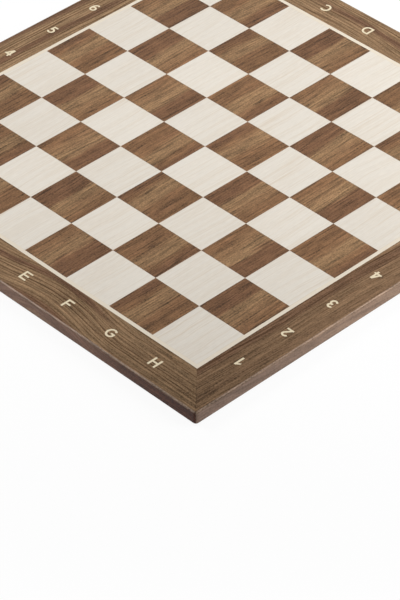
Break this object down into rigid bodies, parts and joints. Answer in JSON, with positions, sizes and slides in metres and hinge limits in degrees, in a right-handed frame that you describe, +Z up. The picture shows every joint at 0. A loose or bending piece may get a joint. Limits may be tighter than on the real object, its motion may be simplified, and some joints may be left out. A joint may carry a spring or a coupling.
{
  "type": "chessboard",
  "caption": "Square inlaid wooden chessboard: light and dark veneer squares, a light line, mitred walnut rails with letter and number notation, felt pads under the corners.",
  "frame": {"origin": "centre of the board's footprint, on the plane of the felt pads' undersides", "axes": "+X towards the h-file, +Y towards the eighth rank, +Z up out of the playing surface"},
  "size_m": [0.48, 0.48, 0.0132],
  "materials": {
    "walnut_square": "satin lacquered walnut veneer",
    "maple_square": "satin lacquered maple veneer",
    "maple_stringing": "satin lacquered maple line",
    "walnut_rail": "satin lacquered solid walnut",
    "mdf_core": "raw fibreboard",
    "beech_biscuit": "compressed beech",
    "backing_veneer": "thinly sealed walnut veneer",
    "felt": "dense wool felt"
  },
  "bodies": {
    "root": {"core_panel": "mdf_core", "backing_veneer_left": "backing_veneer", "backing_veneer_right": "backing_veneer", "rank_1_light_squares": "maple_square", "rank_2_light_squares": "maple_square", "rank_3_light_squares": "maple_square", "rank_4_light_squares": "maple_square", "rank_5_light_squares": "maple_square", "rank_6_light_squares": "maple_square", "rank_7_light_squares": "maple_square", "rank_8_light_squares": "maple_square", "rank_1_dark_squares": "walnut_square", "rank_2_dark_squares": "walnut_square", "rank_3_dark_squares": "walnut_square", "rank_4_dark_squares": "walnut_square", "rank_5_dark_squares": "walnut_square", "rank_6_dark_squares": "walnut_square", "rank_7_dark_squares": "walnut_square", "rank_8_dark_squares": "walnut_square", "front_stringing": "maple_stringing", "right_stringing": "maple_stringing", "back_stringing": "maple_stringing", "left_stringing": "maple_stringing", "front_rail": "walnut_rail", "right_rail": "walnut_rail", "back_rail": "walnut_rail", "left_rail": "walnut_rail", "mitre_biscuit_front_right": "beech_biscuit", "mitre_biscuit_back_right": "beech_biscuit", "mitre_biscuit_back_left": "beech_biscuit", "mitre_biscuit_front_left": "beech_biscuit", "felt_pad_front_right": "felt", "felt_pad_back_right": "felt", "felt_pad_back_left": "felt", "felt_pad_front_left": "felt"}
  },
  "joints": []
}
